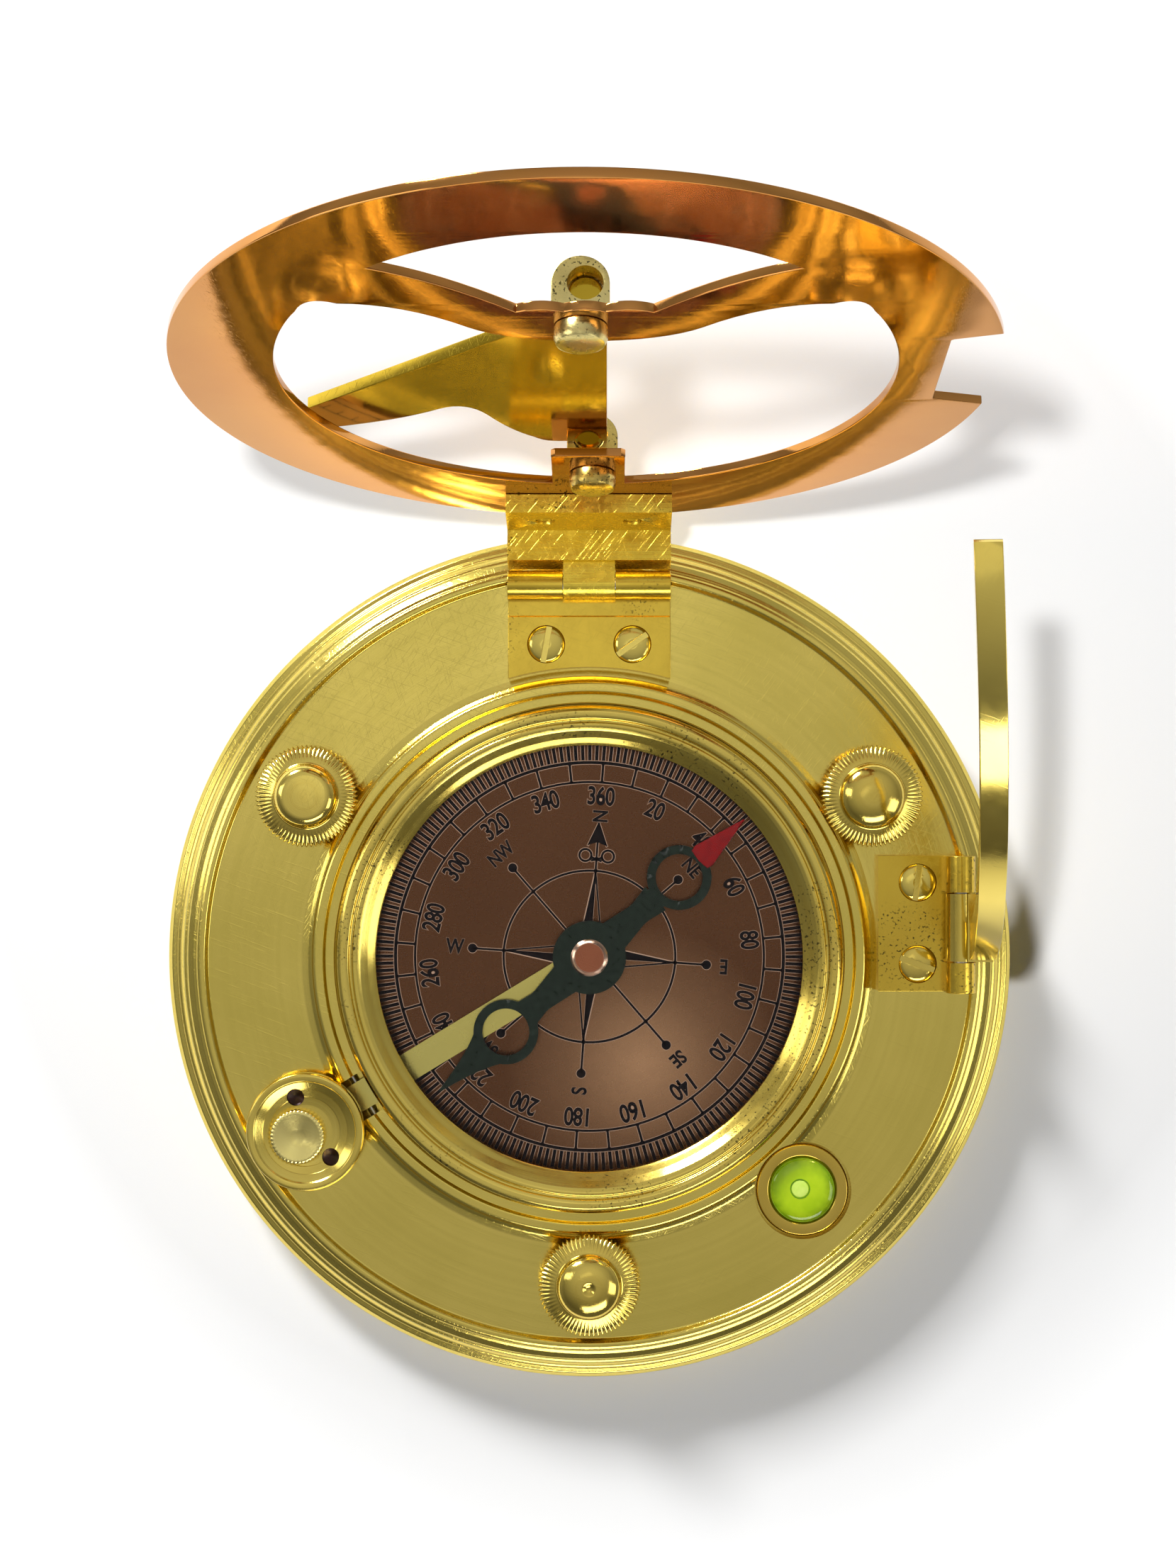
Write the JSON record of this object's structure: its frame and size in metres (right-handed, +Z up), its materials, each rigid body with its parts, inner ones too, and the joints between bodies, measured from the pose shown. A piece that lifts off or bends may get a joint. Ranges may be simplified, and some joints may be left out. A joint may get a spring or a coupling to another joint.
{
  "type": "sundial compass",
  "caption": "Folding sundial on a round levelling base with a magnetic compass, hinged hour ring with gnomon, and hinged latitude arc.",
  "frame": {"origin": "middle of the base's flat underside, on the turning axis", "axes": "+Z up, +Y towards the hour ring's hinge, +X towards the latitude arc's hinge"},
  "size_m": [0.11, 0.1349, 0.0989],
  "materials": {
    "satin_brass": "satin brass, turned",
    "bright_brass": "polished brass",
    "hinge_brass": "brushed brass",
    "ring_copper": "polished copper-coloured plate",
    "dial_copper": "brushed copper-brown dial with printed scale",
    "cap_copper": "copper",
    "steel": "plain steel",
    "needle_black": "dark lacquer, red at the north tip",
    "clear_glass": "clear",
    "green_vial": "yellow-green spirit under a clear window"
  },
  "bodies": {
    "base": {"base_dish": "satin_brass", "compass_case": "satin_brass", "case_screw_1": "bright_brass", "case_screw_2": "bright_brass", "case_screw_3": "bright_brass", "dial_card": "dial_copper", "needle_pivot": "steel", "compass_glass": "clear_glass", "bezel": "bright_brass", "fulcrum_pin": "steel", "vial_cup": "hinge_brass", "level_vial": "green_vial", "ring_hinge_leaf": "hinge_brass", "ring_hinge_pin": "steel", "ring_leaf_screw_1": "bright_brass", "ring_leaf_screw_2": "bright_brass", "arc_hinge_leaf": "hinge_brass", "arc_hinge_pin": "steel", "arc_leaf_screw_1": "bright_brass", "arc_leaf_screw_2": "bright_brass"},
    "hour_ring_assembly": {"hour_ring": "ring_copper", "ring_bracket": "hinge_brass", "ring_screw_1": "bright_brass", "ring_screw_2": "bright_brass", "gnomon_post_upper": "hinge_brass", "gnomon_post_lower": "hinge_brass"},
    "gnomon_plate": {"gnomon": "bright_brass"},
    "arc": {"latitude_arc": "hinge_brass"},
    "magnet_needle": {"needle": "needle_black", "needle_cap": "cap_copper"},
    "lifter": {"lifter_arm": "hinge_brass"},
    "lock": {"lock_disc": "satin_brass", "lock_boss": "bright_brass", "lock_nut": "bright_brass"},
    "level_screw_1": {"level_shank_1": "bright_brass"},
    "level_grip_1": {"level_knob_1": "bright_brass"},
    "level_screw_2": {"level_shank_2": "bright_brass"},
    "level_grip_2": {"level_knob_2": "bright_brass"},
    "level_screw_3": {"level_shank_3": "bright_brass"},
    "level_grip_3": {"level_knob_3": "bright_brass"}
  },
  "joints": [
    {"name": "ring_fold", "type": "hinge", "parent": "base", "child": "hour_ring_assembly", "pos_m": [0, 0.048, 0.0079], "axis": [1, 0, 0], "range_deg": [-6, 103.8]},
    {"name": "gnomon_fold", "type": "hinge", "parent": "hour_ring_assembly", "child": "gnomon_plate", "pos_m": [0, 0.06916, 0.0408], "axis": [0, -0.2385, -0.9711], "range_deg": [0, 90]},
    {"name": "arc_fold", "type": "hinge", "parent": "base", "child": "arc", "pos_m": [0.0475, 0, 0.0092], "axis": [0, 1, 0], "range_deg": [-82.5, 7.5]},
    {"name": "needle_spin", "type": "hinge", "parent": "base", "child": "magnet_needle", "pos_m": [0, 0, 0.0044], "axis": [0, 0, 1], "continuous": true},
    {"name": "lock_turn", "type": "hinge", "parent": "base", "child": "lock", "pos_m": [-0.03648, -0.02218, 0.0062], "axis": [0, 0, 1], "range_deg": [0, 90]},
    {"name": "lifter_tilt", "type": "hinge", "parent": "base", "child": "lifter", "pos_m": [-0.02956, -0.01798, 0.00265], "axis": [0.5195, -0.8545, 0], "range_deg": [0, 0.65]},
    {"name": "level_1_travel", "type": "slide", "parent": "base", "child": "level_screw_1", "axis": [0, 0, 1], "range_m": [-0.0009, 0.003]},
    {"name": "level_1_turn", "type": "hinge", "parent": "level_screw_1", "child": "level_grip_1", "pos_m": [-0.03629, 0.02095, 0.007], "axis": [0, 0, 1], "range_deg": [-460, 1540]},
    {"name": "level_2_travel", "type": "slide", "parent": "base", "child": "level_screw_2", "axis": [0, 0, 1], "range_m": [-0.0009, 0.003]},
    {"name": "level_2_turn", "type": "hinge", "parent": "level_screw_2", "child": "level_grip_2", "pos_m": [0.03629, 0.02095, 0.007], "axis": [0, 0, 1], "range_deg": [-460, 1540]},
    {"name": "level_3_travel", "type": "slide", "parent": "base", "child": "level_screw_3", "axis": [0, 0, 1], "range_m": [-0.0009, 0.003]},
    {"name": "level_3_turn", "type": "hinge", "parent": "level_screw_3", "child": "level_grip_3", "pos_m": [0, -0.0419, 0.007], "axis": [0, 0, 1], "range_deg": [-460, 1540]}
  ],
  "couplings": [
    {"joint": "lifter_tilt", "follows": "lock_turn", "ratio": 0.007221}
  ]
}
